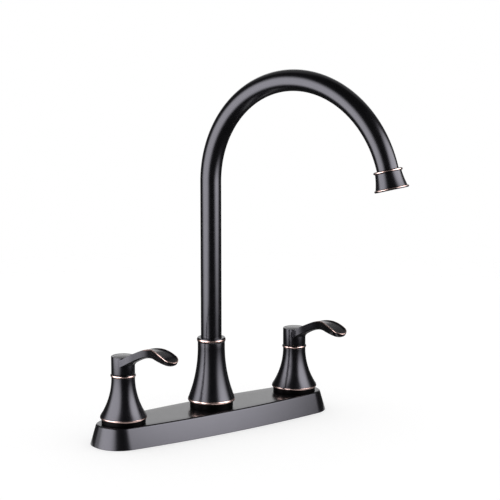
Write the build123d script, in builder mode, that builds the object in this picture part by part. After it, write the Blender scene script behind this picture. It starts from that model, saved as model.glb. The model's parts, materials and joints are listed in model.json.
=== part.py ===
from build123d import *
from math import cos, pi, radians, sin
import os

# Two handle centre-set kitchen faucet with a high swivel spout, in millimetres.
# Origin: middle of the deck plate's underside, which lies on the sink deck. +Z is up, -Y faces the
# user and +X is to the user's right. The left handle is at -X and the right handle at +X.

# ---- driving dimensions -------------------------------------------------------------------------
handle_spacing = 203.2  # 8 in between the two valve centres

plate_overhang = 30.9  # from a valve's centre to the plate's end
plate_middle_width = 65.4
plate_end_width = 48.0  # width of the bowed outline where it meets the ends
plate_corner_share = 1.04  # corner radius over half the end width, so that the ends are nearly round
plate_height = 19.4
plate_draft_inset = 5.4  # how far the walls lean in from foot to top
plate_wall = 2.5
plate_edge_radius = 1.2
putty_plate_thickness = 2.0

side_flange_height = 4.3
spout_flange_height = 5.9
flange_radius = 20.5
flange_web = 3.0  # the flange's disc inside its lip
flange_chamfer = 0.5
lip_height = 1.5  # lip that centres a bell on its flange
lip_wall = 2.0

bell_wall = 2.0
bell_land = 4.0  # straight inner wall above the foot
bell_shoulder = 1.1  # how far the rim stands out over the foot
bell_rim = 0.6  # upright edge of the rim
bead_radius = 0.8  # half thickness of the bead under the rim
bead_step = 0.2  # plain land beside a bead

side_bell_base_radius = 20.5
side_bell_top_radius = 10.9
side_bell_straight = 62.0  # height at which the flare has become a cylinder
side_bell_top = 62.6
side_bell_throat_wall = 1.8
ring_height = 3.2
ring_radius = 11.75
ring_wall = 1.2
ring_spigot = 2.5

spout_bell_base_radius = 21.2
spout_bell_top_radius = 12.85
spout_bell_straight = 77.0
spout_bell_top = 82.0
collar_height = 4.4
collar_radius = 13.6
collar_spigot = 2.0

hub_top = 82.4
hub_radius = 10.95
hub_wall = 2.0
hub_recess = 3.0  # hollow under the hub that clears the ring
hub_web = 1.9  # between the screw's seat and the stem's end
cap_radius = 8.6
cap_thickness = 1.6
cap_crown = 0.5
lever_length = 77.5  # from the handle's axis to the tip
lever_rise = 14.8  # crest of the lever over the hub's top
lever_toe_in = 2.2  # closed levers stand this far round from straight ahead, towards the spout
paddle_width = 15.5
lever_dish = 0.11  # depth of the hollow upper face over its half width
lever_keel = 0.20  # share of the lever's depth that is rounded underneath

shank_radius = 10.45  # 1/2-14 pipe thread, 20.9 mm over the crests
shank_length = 55.0
shank_bore = 6.2
shank_chamfer = 1.0
supply_thread = 30.0  # free end of the shank, for the supply line's nut
relief_width = 1.5  # groove between the supply thread and the mounting thread
relief_depth = 0.6
valve_block_radius = 14.0
post_block_radius = 15.0
body_floor = 2.0
upstand_radius = 10.95
upstand_top = 46.0
upstand_thread = 8.0  # length of the bell's thread on the side upstands
valve_bore = 9.25
riser_bore = 4.6
riser_top = 22.0
tube_socket_depth = 2.5
crossover_radius = 5.0
crossover_wall = 0.8
crossover_height = 9.6

seat_washer_height = 3.0
cartridge_radius = 9.2
cartridge_lift = 0.5  # the cartridge's foot over the riser
cartridge_hex = 17.0  # across the flats
hex_room_radius = 10.1
cartridge_hex_height = 5.5
cartridge_neck_radius = 6.2
cartridge_neck_top = 57.0
chamber_radius = 7.6
disc_radius = 7.4
disc_thickness = 3.4
disc_opening_place = 0.5  # share of the disc's radius
disc_opening_width = 0.36  # share of the disc's radius
stem_radius = 4.0
stem_foot_height = 4.0
spline_teeth = 16
spline_depth = 0.5
spline_length = 9.0

screw_radius = 2.0
screw_head_radius = 4.0
screw_head_height = 2.6
screw_seat_depth = 3.0
screw_reach = 8.0  # length of thread in the stem
screw_hole_depth = 10.0
screw_hex_radius = 1.6
screw_hex_depth = 1.6

sink_deck = 10.0  # thickness of the sink ledge that the nuts clamp
washer_thickness = 2.0
washer_radius = 19.0
nut_height = 11.0
nut_radius = 15.0
nut_flange_radius = 17.0
nut_flange_height = 2.0
nut_wing_radius = 23.0
nut_wing_thickness = 4.0

tube_radius = 9.8
tube_wall = 1.2
arch_radius = 100.4
arch_height = 235.0  # height at which the tube starts to bend
arch_sweep = 165.0
spout_turn = 15.0  # the spout stands this far round from straight ahead
tube_tail = 8.0  # straight end of the tube inside the outlet

post_top = 74.0
post_thread = 14.0  # length of the bell's thread on the post
post_waterway = 6.0
post_bore_depth = 30.0  # from the post's top to the step under the nipple
nipple_radius = 7.8
nipple_bore = 4.8
nipple_length = 28.0  # from its flange down
nipple_plug = 12.0  # length inside the tube
nipple_flange_radius = 10.7
nipple_flange_height = 3.0
o_ring_section = 0.9
o_ring_places = (6.0, 14.0)  # over the nipple's lower end
o_ring_groove = 2.0
thrust_washer_thickness = 1.2
glide_ring_height = 1.5

outlet_length = 17.0
outlet_ring_radius = 13.2
outlet_ring_height = 2.4
outlet_neck_radius = 11.9
outlet_skirt_radius = 14.3
outlet_lip_radius = 15.6
outlet_lip_height = 2.2
outlet_face_radius = 14.6
aerator_radius = 11.6
aerator_bore = 9.4
aerator_rim = 0.8  # inward rim that holds the insert
aerator_rim_height = 1.0
aerator_set_back = 0.4
aerator_washer_thickness = 1.0
insert_holes = ((12, 6.4, 1.3), (6, 3.0, 1.0))  # count, circle radius and hole radius of each ring

# ---- clearances -----------------------------------------------------------------------------------
running_fit = 0.05  # a shaft or thread in its hole, on the radius
turning_gap = 0.3  # between a turning face and a fixed one
centring_fit = 0.2  # a lip, spigot or disc that only centres
loose_fit = 0.45
thread_chamfer = 1.3
bore_relief = 2.0

# ---- places worked out from them --------------------------------------------------------------------
handle_x = handle_spacing / 2
plate_length = handle_spacing + 2 * plate_overhang
plate_inner_top = plate_height - plate_wall
plate_hole_radius = upstand_radius + loose_fit
body_top = putty_plate_thickness + body_floor
seat_top = riser_top + seat_washer_height
cartridge_foot = riser_top + cartridge_lift
disc_joint = seat_top + disc_thickness
stem_foot = disc_joint + disc_thickness
cartridge_top = upstand_top + cartridge_hex_height
hub_bottom = side_bell_top + ring_height + turning_gap
screw_seat = hub_top - cap_thickness - screw_seat_depth
socket_top = screw_seat - hub_web
spline_top = socket_top - turning_gap
upstand_fit = upstand_radius + running_fit
throat_radius = side_bell_top_radius - side_bell_throat_wall
os.makedirs("parts", exist_ok=True)


def save(piece, name):
    """Label a finished piece and write its STEP file."""
    piece.part.label = name
    export_step(piece.part, "parts/" + name + ".step")


def upright(x):
    """Plane of the X and Z axes, moved along X: sketches on it are (radius, height)."""
    return Plane(origin=(x, 0, 0), x_dir=(1, 0, 0), z_dir=(0, -1, 0))


def vertical(x):
    """The vertical axis at x."""
    return Axis((x, 0, 0), (0, 0, 1))


def plate_outline(wall, height):
    """Bowed rectangle with round corners: the drafted plate's section at a height, less its wall."""
    inset = wall + plate_draft_inset * height / plate_height
    half_length = plate_length / 2 - inset
    half_end = plate_end_width / 2 - inset
    half_middle = plate_middle_width / 2 - inset
    with BuildSketch(Plane.XY.offset(height)) as outline:
        with BuildLine():
            front = ThreePointArc((-half_length, -half_end), (0, -half_middle), (half_length, -half_end))
            right = Line(front @ 1, (half_length, half_end))
            back = ThreePointArc(right @ 1, (0, half_middle), (-half_length, half_end))
            Line(back @ 1, front @ 0)
        make_face()
        fillet(outline.vertices(), radius=plate_corner_share * half_end)
    return outline.sketch


def ring(inner, outer, bottom, top, x=0.0):
    """A plain turned ring."""
    with BuildPart() as part:
        with BuildSketch(Plane(origin=(x, 0, bottom))):
            Circle(outer)
            Circle(inner, mode=Mode.SUBTRACT)
        extrude(amount=top - bottom)
    return part


def spline_points(tip_radius):
    """Corners of the splined end: one tip and one root for each tooth."""
    points = []
    for corner in range(2 * spline_teeth):
        angle = pi * corner / spline_teeth
        radius = tip_radius - spline_depth * (corner % 2)
        points.append((radius * cos(angle), radius * sin(angle)))
    return points


# ---- deck plate and the plate under it ---------------------------------------------------------------
with BuildPart() as deck_plate:
    loft((plate_outline(0, 0), plate_outline(0, plate_height)), ruled=True)
    fillet(deck_plate.faces().sort_by(Axis.Z)[-1].edges(), radius=plate_edge_radius)
    hollow = (plate_outline(plate_wall, 0), plate_outline(plate_wall, plate_inner_top))
    loft(hollow, ruled=True, mode=Mode.SUBTRACT)
    with BuildSketch(Plane.XY.offset(plate_inner_top)):
        with Locations((-handle_x, 0), (0, 0), (handle_x, 0)):
            Circle(plate_hole_radius)
    extrude(amount=plate_wall, mode=Mode.SUBTRACT)
save(deck_plate, "deck_plate")

with BuildPart() as putty_plate:
    rim_fit = plate_wall + turning_gap
    loft((plate_outline(rim_fit, 0), plate_outline(rim_fit, putty_plate_thickness)), ruled=True)
    with BuildSketch():
        with Locations((-handle_x, 0), (handle_x, 0)):
            Circle(shank_radius + turning_gap)
    extrude(amount=putty_plate_thickness, mode=Mode.SUBTRACT)
save(putty_plate, "putty_plate")


# ---- valves, bells and handles ------------------------------------------------------------------------
def valve_body(x, inward):
    """Brass body: threaded shank, block under the plate, and the upstand that holds the cartridge."""
    supply_top = supply_thread - shank_length
    relief_radius = shank_radius - relief_depth
    with BuildPart() as part:
        with BuildSketch(upright(x)):
            with BuildLine():
                Polyline(
                    (shank_bore, -shank_length), (shank_radius - shank_chamfer, -shank_length),
                    (shank_radius, shank_chamfer - shank_length), (shank_radius, supply_top),
                    (relief_radius, supply_top), (relief_radius, supply_top + relief_width),
                    (shank_radius, supply_top + relief_width),
                    (shank_radius, putty_plate_thickness), (valve_block_radius, putty_plate_thickness),
                    (valve_block_radius, plate_inner_top), (upstand_radius, plate_inner_top),
                    (upstand_radius, upstand_top), (valve_bore, upstand_top),
                    (valve_bore, body_top), (shank_bore, body_top), (shank_bore, riser_top),
                    (riser_bore, riser_top), (riser_bore, putty_plate_thickness), (shank_bore, 0), close=True,
                )
            make_face()
        revolve(axis=vertical(x))
        port_x = x + inward * (shank_bore + valve_bore) / 2
        port = Plane(origin=(port_x, 0, crossover_height), z_dir=(inward, 0, 0))
        with BuildSketch(port):
            Circle(crossover_radius - crossover_wall)
        extrude(amount=valve_block_radius, mode=Mode.SUBTRACT)
        socket_x = x + inward * (valve_block_radius - tube_socket_depth)
        socket = Plane(origin=(socket_x, 0, crossover_height), z_dir=(inward, 0, 0))
        with BuildSketch(socket):
            Circle(crossover_radius + running_fit)
        extrude(amount=valve_block_radius, mode=Mode.SUBTRACT)
    return part


def bell(x, foot, base_radius, inside, top_radius, straight, top):
    """Turned bell: its flare meets the straight top without a corner, and a bead runs above its foot.

    The inside points run up from the cavity to the inner edge of the top face.
    """
    bead_height = foot + bead_step + bead_radius
    rim_foot = bead_height + bead_radius
    shoulder = (base_radius + bell_shoulder, rim_foot + bell_rim)
    with BuildPart() as part:
        with BuildSketch(upright(x)):
            with BuildLine():
                Polyline(
                    shoulder, (base_radius + bell_shoulder, rim_foot), (base_radius, rim_foot),
                    (base_radius, foot), (base_radius - bell_wall, foot),
                    (base_radius - bell_wall, foot + bell_land), *inside, (top_radius, top),
                    (top_radius, straight),
                )
                TangentArc((top_radius, straight), shoulder, tangent=(0, -1))
            make_face()
        revolve(axis=vertical(x))
        with BuildSketch(upright(x)):
            with Locations((base_radius, bead_height)):
                Circle(bead_radius)
        revolve(axis=vertical(x))
    return part


def side_bell(x):
    """Bell over a valve: threaded on the upstand, then room for the cartridge's hex, then a throat."""
    thread_foot = upstand_top - upstand_thread
    thread_end = upstand_top + loose_fit
    hex_room_top = cartridge_top + loose_fit
    inside = (
        (upstand_fit + thread_chamfer, thread_foot - thread_chamfer), (upstand_fit, thread_foot),
        (upstand_fit, thread_end), (hex_room_radius, thread_end + upstand_fit - hex_room_radius),
        (hex_room_radius, hex_room_top), (throat_radius, hex_room_top + hex_room_radius - throat_radius),
        (throat_radius, side_bell_top),
    )
    return bell(
        x, plate_height + side_flange_height, side_bell_base_radius, inside,
        side_bell_top_radius, side_bell_straight, side_bell_top,
    )


def bell_ring(x):
    """Beaded ring between the bell and the turning hub, with a spigot down into the bell."""
    top = side_bell_top + ring_height
    spigot = throat_radius - running_fit
    bore = spigot - ring_wall
    land = side_bell_top_radius - bead_step
    with BuildPart() as part:
        with BuildSketch(upright(x)):
            with BuildLine():
                Polyline(
                    (land, top), (bore, top), (bore, side_bell_top - ring_spigot),
                    (spigot, side_bell_top - ring_spigot), (spigot, side_bell_top), (land, side_bell_top),
                )
                ThreePointArc(
                    (land, side_bell_top), (ring_radius, side_bell_top + ring_height / 2), (land, top)
                )
            make_face()
        revolve(axis=vertical(x))
    return part


def base_flange(x, height, bell_radius):
    """Foot of a bell: a turned flange on the plate, with a lip that centres the bell."""
    top = plate_height + height
    web_top = plate_height + flange_web
    lip = bell_radius - bell_wall - centring_fit
    with BuildPart() as part:
        with BuildSketch(upright(x)):
            with BuildLine():
                Polyline(
                    (plate_hole_radius, plate_height), (flange_radius - flange_chamfer, plate_height),
                    (flange_radius, plate_height + flange_chamfer), (flange_radius, top), (lip, top),
                    (lip, top + lip_height), (lip - lip_wall, top + lip_height), (lip - lip_wall, web_top),
                    (plate_hole_radius, web_top), close=True,
                )
            make_face()
        revolve(axis=vertical(x))
    return part


def cartridge_body(x):
    """Brass cartridge: chamber for the discs with two outlet windows, hex head and neck for the stem."""
    with BuildPart() as part:
        with BuildSketch(Plane(origin=(x, 0, cartridge_foot))):
            Circle(cartridge_radius)
        extrude(amount=upstand_top - cartridge_foot)
        with BuildSketch(Plane(origin=(x, 0, upstand_top))):
            RegularPolygon(radius=cartridge_hex / 2, side_count=6, major_radius=False)
        extrude(amount=cartridge_hex_height)
        with BuildSketch(Plane(origin=(x, 0, cartridge_top))):
            Circle(cartridge_neck_radius)
        extrude(amount=cartridge_neck_top - cartridge_top)
        with BuildSketch(Plane(origin=(x, 0, cartridge_foot))):
            Circle(chamber_radius)
        extrude(amount=stem_foot + stem_foot_height - cartridge_foot, mode=Mode.SUBTRACT)
        with BuildSketch(Plane(origin=(x, 0, stem_foot))):
            Circle(stem_radius + running_fit)
        extrude(amount=cartridge_neck_top - stem_foot, mode=Mode.SUBTRACT)
        with BuildSketch(Plane(origin=(x, 0, disc_joint + disc_thickness / 2), z_dir=(0, 1, 0))):
            Rectangle(chamber_radius, disc_thickness)
        extrude(amount=2 * cartridge_radius, both=True, mode=Mode.SUBTRACT)
    return part


def ceramic_disc(x, bottom):
    """Lapped ceramic disc with two quarter openings, one each side of the axis."""
    with BuildPart() as part:
        with BuildSketch(Plane(origin=(x, 0, bottom))):
            Circle(disc_radius)
            for side in (-1, 1):
                with Locations((0, side * disc_opening_place * disc_radius)):
                    SlotOverall(disc_radius, disc_opening_width * disc_radius, mode=Mode.SUBTRACT)
        extrude(amount=disc_thickness)
    return part


def valve_stem(x):
    """Brass stem: foot on the moving disc, round journal in the neck, splined end in the hub."""
    foot_top = stem_foot + stem_foot_height - turning_gap
    with BuildPart() as part:
        with BuildSketch(Plane(origin=(x, 0, stem_foot))):
            Circle(disc_radius - centring_fit)
        extrude(amount=foot_top - stem_foot)
        with BuildSketch(Plane(origin=(x, 0, foot_top))):
            Circle(stem_radius)
        extrude(amount=spline_top - spline_length - foot_top)
        with BuildSketch(Plane(origin=(x, 0, spline_top - spline_length))):
            with BuildLine():
                Polyline(*spline_points(stem_radius), close=True)
            make_face()
        extrude(amount=spline_length)
        with BuildSketch(Plane(origin=(x, 0, spline_top))):
            Circle(screw_radius)
        extrude(amount=-screw_hole_depth, mode=Mode.SUBTRACT)
    return part


# Lever stations from the hub's axis to the tip: reach as a share of the lever's length, height of the
# upper edge and of the underside over the hub's top as shares of the rise, half width as a share of the
# paddle's, and how far the belly narrows below the upper edge.
lever_stations = (
    (0.00, -0.47, -0.90, 1.36, 0.98),
    (0.075, -0.23, -0.71, 1.18, 0.98),
    (0.12, -0.06, -0.575, 0.95, 0.98),
    (0.18, 0.16, -0.40, 0.76, 0.97),
    (0.30, 0.47, -0.08, 0.61, 0.95),
    (0.44, 0.77, 0.215, 0.52, 0.93),
    (0.57, 0.96, 0.345, 0.56, 0.90),
    (0.68, 1.00, 0.325, 0.79, 0.84),
    (0.79, 0.90, 0.255, 0.99, 0.76),
    (0.88, 0.755, 0.18, 1.00, 0.70),
    (0.945, 0.61, 0.20, 0.89, 0.66),
    (0.98, 0.52, 0.265, 0.61, 0.62),
    (1.00, 0.46, 0.325, 0.23, 0.55),
)


def lever_handle(x, inward):
    """Hub and lever in one casting: an S-curved lever with a waist that ends in a dished paddle."""
    toe_in = inward * radians(lever_toe_in)
    across = (cos(toe_in), sin(toe_in), 0)
    root = Plane(origin=(x, 0, 0), x_dir=across, z_dir=(sin(toe_in), -cos(toe_in), 0))
    with BuildPart() as part:
        for reach, upper, under, width, belly in lever_stations:
            top = hub_top + upper * lever_rise
            bottom = hub_top + under * lever_rise
            half = width * paddle_width / 2
            foot = bottom + lever_keel * (top - bottom)
            with BuildSketch(root.offset(reach * lever_length)):
                with BuildLine():
                    rim = ThreePointArc((-half, top), (0, top - lever_dish * half), (half, top))
                    right = Line(rim @ 1, (belly * half, foot))
                    keel = ThreePointArc(right @ 1, (0, bottom), (-belly * half, foot))
                    Line(keel @ 1, rim @ 0)
                make_face()
        loft()
        with BuildSketch(Plane(origin=(x, 0, hub_bottom))):
            Circle(hub_radius)
        extrude(amount=hub_top - hub_bottom)
        with BuildSketch(Plane(origin=(x, 0, hub_bottom))):
            Circle(hub_radius - hub_wall)
        extrude(amount=hub_recess, mode=Mode.SUBTRACT)
        with BuildSketch(Plane(origin=(x, 0, hub_bottom))):
            with BuildLine():
                Polyline(*spline_points(stem_radius + running_fit), close=True)
            make_face()
        extrude(amount=socket_top - hub_bottom, mode=Mode.SUBTRACT)
        with BuildSketch(Plane(origin=(x, 0, hub_top))):
            Circle(cap_radius + running_fit)
        extrude(amount=-cap_thickness, mode=Mode.SUBTRACT)
        with BuildSketch(Plane(origin=(x, 0, screw_seat))):
            Circle(screw_head_radius + centring_fit)
        extrude(amount=screw_seat_depth, mode=Mode.SUBTRACT)
        with BuildSketch(Plane(origin=(x, 0, socket_top))):
            Circle(screw_radius + running_fit)
        extrude(amount=hub_web, mode=Mode.SUBTRACT)
    return part


def handle_screw(x):
    """Screw that holds the hub on the stem: round head with a hex socket."""
    with BuildPart() as part:
        with BuildSketch(Plane(origin=(x, 0, screw_seat))):
            Circle(screw_head_radius)
        extrude(amount=screw_head_height)
        with BuildSketch(Plane(origin=(x, 0, spline_top - screw_reach))):
            Circle(screw_radius - running_fit)
        extrude(amount=screw_seat - spline_top + screw_reach)
        with BuildSketch(Plane(origin=(x, 0, screw_seat + screw_head_height))):
            RegularPolygon(radius=screw_hex_radius, side_count=6)
        extrude(amount=-screw_hex_depth, mode=Mode.SUBTRACT)
    return part


def hub_cap(x):
    """Plain plug in the top of the hub, slightly domed."""
    bottom = hub_top - cap_thickness
    crest = (0, hub_top + cap_crown)
    with BuildPart() as part:
        with BuildSketch(upright(x)):
            with BuildLine():
                Polyline(crest, (0, bottom), (cap_radius, bottom), (cap_radius, hub_top))
                TangentArc(crest, (cap_radius, hub_top), tangent=(1, 0))
            make_face()
        revolve(axis=vertical(x))
    return part


for side, x, inward in (("left", -handle_x, 1), ("right", handle_x, -1)):
    save(valve_body(x, inward), side + "_valve_body")
    save(ring(riser_bore, disc_radius, riser_top, seat_top, x), side + "_seat_washer")
    save(cartridge_body(x), side + "_cartridge_body")
    save(ceramic_disc(x, seat_top), side + "_fixed_disc")
    save(ceramic_disc(x, disc_joint), side + "_moving_disc")
    save(valve_stem(x), side + "_valve_stem")
    save(base_flange(x, side_flange_height, side_bell_base_radius), side + "_base_flange")
    save(side_bell(x), side + "_bell")
    save(bell_ring(x), side + "_bell_ring")
    save(lever_handle(x, inward), side + "_lever_handle")
    save(handle_screw(x), side + "_handle_screw")
    save(hub_cap(x), side + "_hub_cap")

    tube_outer_end = handle_x - valve_block_radius + tube_socket_depth
    tube_inner_end = post_block_radius - tube_socket_depth
    tube_start = (-inward * tube_inner_end, 0, crossover_height)
    with BuildPart() as crossover_tube:
        with BuildSketch(Plane(origin=tube_start, z_dir=(-inward, 0, 0))):
            Circle(crossover_radius)
            Circle(crossover_radius - crossover_wall, mode=Mode.SUBTRACT)
        extrude(amount=tube_outer_end - tube_inner_end)
    save(crossover_tube, side + "_crossover_tube")

# ---- spout post and its bell ---------------------------------------------------------------------------
flange_bottom = post_top + thrust_washer_thickness
flange_upper = flange_bottom + nipple_flange_height
nipple_bottom = flange_bottom - nipple_length
post_bore = nipple_radius + running_fit
post_step = post_top - post_bore_depth

with BuildPart() as spout_post:
    with BuildSketch(Plane.XZ):
        with BuildLine():
            Polyline(
                (0, putty_plate_thickness), (post_block_radius, putty_plate_thickness),
                (post_block_radius, plate_inner_top), (upstand_radius, plate_inner_top),
                (upstand_radius, post_top), (post_bore, post_top), (post_bore, post_step),
                (post_waterway, post_step - bore_relief), (post_waterway, body_top),
                (0, body_top), close=True,
            )
        make_face()
    revolve(axis=Axis.Z)
    with BuildSketch(Plane(origin=(0, 0, crossover_height), z_dir=(1, 0, 0))):
        Circle(crossover_radius - crossover_wall)
    extrude(amount=post_block_radius, both=True, mode=Mode.SUBTRACT)
    for inward in (-1, 1):
        socket_x = inward * (post_block_radius - tube_socket_depth)
        with BuildSketch(Plane(origin=(socket_x, 0, crossover_height), z_dir=(inward, 0, 0))):
            Circle(crossover_radius + running_fit)
        extrude(amount=post_block_radius, mode=Mode.SUBTRACT)
save(spout_post, "spout_post")

thread_foot = post_top - post_thread
spout_bell_inside = (
    (upstand_fit + thread_chamfer, thread_foot - thread_chamfer), (upstand_fit, thread_foot),
    (upstand_fit, spout_bell_top),
)
spout_bell = bell(
    0, plate_height + spout_flange_height, spout_bell_base_radius, spout_bell_inside,
    spout_bell_top_radius, spout_bell_straight, spout_bell_top,
)
save(spout_bell, "spout_bell")
save(base_flange(0, spout_flange_height, spout_bell_base_radius), "spout_base_flange")

with BuildPart() as spout_collar:
    collar_bore = tube_radius + turning_gap
    collar_top = spout_bell_top + collar_height
    spigot_foot = spout_bell_top - collar_spigot
    with BuildSketch(Plane.XZ):
        with BuildLine():
            Polyline(
                (spout_bell_top_radius, collar_top), (collar_bore, collar_top), (collar_bore, spigot_foot),
                (upstand_radius, spigot_foot), (upstand_radius, spout_bell_top),
                (spout_bell_top_radius, spout_bell_top),
            )
            ThreePointArc(
                (spout_bell_top_radius, spout_bell_top), (collar_radius, spout_bell_top + collar_height / 2),
                (spout_bell_top_radius, collar_top),
            )
        make_face()
    revolve(axis=Axis.Z)
save(spout_collar, "spout_collar")

save(ring(nipple_radius + turning_gap, upstand_radius, post_top, flange_bottom), "thrust_washer")
glide_bottom = flange_upper + turning_gap
glide_top = glide_bottom + glide_ring_height
save(ring(tube_radius + running_fit, upstand_radius, glide_bottom, glide_top), "glide_ring")

# ---- spout: tube, nipple, outlet and aerator -------------------------------------------------------------
forward = Vector(sin(radians(spout_turn)), -cos(radians(spout_turn)), 0)
arch_plane = Plane(origin=(0, 0, 0), x_dir=forward, z_dir=forward.cross(Vector(0, 0, 1)))
end_angle = radians(180 - arch_sweep)

with BuildPart() as spout_tube:
    with BuildLine(arch_plane) as tube_path:
        Line((0, flange_upper), (0, arch_height))
        arch = CenterArc((arch_radius, arch_height), arch_radius, 180, -arch_sweep)
        Line(arch @ 1, (arch @ 1) + (arch % 1) * tube_tail)
    with BuildSketch(Plane(origin=(0, 0, flange_upper))):
        Circle(tube_radius)
        Circle(tube_radius - tube_wall, mode=Mode.SUBTRACT)
    sweep(path=tube_path.wires()[0])
save(spout_tube, "spout_tube")

with BuildPart() as swivel_nipple:
    plug_radius = tube_radius - tube_wall - running_fit
    with BuildSketch(Plane.XZ):
        with BuildLine():
            Polyline(
                (nipple_bore, nipple_bottom), (nipple_radius, nipple_bottom), (nipple_radius, flange_bottom),
                (nipple_flange_radius, flange_bottom), (nipple_flange_radius, flange_upper),
                (plug_radius, flange_upper), (plug_radius, flange_upper + nipple_plug),
                (nipple_bore, flange_upper + nipple_plug), close=True,
            )
        make_face()
    revolve(axis=Axis.Z)
    with BuildSketch(Plane.XZ):
        for place in o_ring_places:
            with Locations((nipple_radius, nipple_bottom + place)):
                Rectangle(4 * o_ring_section, o_ring_groove)
    revolve(axis=Axis.Z, mode=Mode.SUBTRACT)
save(swivel_nipple, "swivel_nipple")

with BuildPart() as nipple_o_rings:
    with BuildSketch(Plane.XZ):
        for place in o_ring_places:
            with Locations((nipple_radius + running_fit / 2 - o_ring_section, nipple_bottom + place)):
                Circle(o_ring_section)
    revolve(axis=Axis.Z)
save(nipple_o_rings, "nipple_o_rings")

tube_end = arch_plane.from_local_coords(
    Vector(arch_radius * (1 + cos(end_angle)), arch_height + arch_radius * sin(end_angle), 0)
)
flow = forward * sin(end_angle) - Vector(0, 0, 1) * cos(end_angle)
across = flow.cross(arch_plane.z_dir)
outlet_plane = Plane(origin=tube_end, x_dir=across, z_dir=across.cross(flow))  # (radius, along the flow)
outlet_axis = Axis(tube_end, flow)
washer_top = tube_tail + centring_fit
shell_top = washer_top + aerator_washer_thickness
shell_bottom = outlet_length - aerator_set_back
rim_top = shell_bottom - aerator_rim_height

with BuildPart() as outlet_bell:
    aerator_fit = aerator_radius + running_fit
    tube_fit = tube_radius + running_fit
    stop_radius = tube_radius - tube_wall
    half_ring = outlet_ring_height / 2
    lip_start = outlet_length - outlet_lip_height
    skirt_middle = (outlet_neck_radius + outlet_skirt_radius) / 2 - outlet_lip_height / 10
    with BuildSketch(outlet_plane):
        with BuildLine():
            inside = Polyline(
                (outlet_face_radius, outlet_length), (aerator_fit, outlet_length), (aerator_fit, washer_top),
                (stop_radius, washer_top), (stop_radius, tube_tail), (tube_fit, tube_tail),
                (tube_fit, -half_ring), (outlet_neck_radius, -half_ring),
            )
            bead = ThreePointArc(
                inside @ 1, (outlet_ring_radius, 0), (outlet_neck_radius, half_ring)
            )
            skirt = ThreePointArc(
                bead @ 1, (skirt_middle, (half_ring + lip_start) / 2), (outlet_skirt_radius, lip_start)
            )
            ThreePointArc(
                skirt @ 1, (outlet_lip_radius, outlet_length - outlet_lip_height / 2), inside @ 0
            )
        make_face()
    revolve(axis=outlet_axis)
save(outlet_bell, "outlet_bell")

with BuildPart() as aerator_washer:
    washer_bore = aerator_bore - aerator_rim
    with BuildSketch(outlet_plane):
        with Locations(((washer_bore + aerator_radius) / 2, (washer_top + shell_top) / 2)):
            Rectangle(aerator_radius - washer_bore, aerator_washer_thickness)
    revolve(axis=outlet_axis)
save(aerator_washer, "aerator_washer")

with BuildPart() as aerator_shell:
    with BuildSketch(outlet_plane):
        with BuildLine():
            Polyline(
                (aerator_bore, shell_top), (aerator_radius, shell_top), (aerator_radius, shell_bottom),
                (aerator_bore - aerator_rim, shell_bottom), (aerator_bore - aerator_rim, rim_top),
                (aerator_bore, rim_top), close=True,
            )
        make_face()
    revolve(axis=outlet_axis)
save(aerator_shell, "aerator_shell")

with BuildPart() as aerator_insert:
    with BuildSketch(Plane(origin=tube_end + flow * shell_top, z_dir=flow)):
        Circle(aerator_bore - running_fit)
        for count, circle_radius, hole_radius in insert_holes:
            with PolarLocations(circle_radius, count):
                Circle(hole_radius, mode=Mode.SUBTRACT)
    extrude(amount=rim_top - shell_top)
save(aerator_insert, "aerator_insert")

# ---- washers and nuts under the sink ledge ----------------------------------------------------------------
with BuildPart() as shank_washers:
    with BuildSketch(Plane.XY.offset(-sink_deck)):
        with Locations((-handle_x, 0), (handle_x, 0)):
            Circle(washer_radius)
            Circle(shank_radius + running_fit, mode=Mode.SUBTRACT)
    extrude(amount=-washer_thickness)
save(shank_washers, "shank_washers")

with BuildPart() as mounting_nuts:
    nut_top = -sink_deck - washer_thickness
    with BuildSketch(Plane.XY.offset(nut_top)):
        with Locations((-handle_x, 0), (handle_x, 0)):
            Circle(nut_flange_radius)
    extrude(amount=-nut_flange_height)
    with BuildSketch(Plane.XY.offset(nut_top)):
        with Locations((-handle_x, 0), (handle_x, 0)):
            Circle(nut_radius)
            SlotOverall(2 * nut_wing_radius, nut_wing_thickness)
            SlotOverall(2 * nut_wing_radius, nut_wing_thickness, rotation=90)
    extrude(amount=-nut_height)
    with BuildSketch(Plane.XY.offset(nut_top)):
        with Locations((-handle_x, 0), (handle_x, 0)):
            Circle(shank_radius + running_fit)
    extrude(amount=-nut_height, mode=Mode.SUBTRACT)
save(mounting_nuts, "mounting_nuts")
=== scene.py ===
import json
from math import cos, pi, radians, sin

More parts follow.
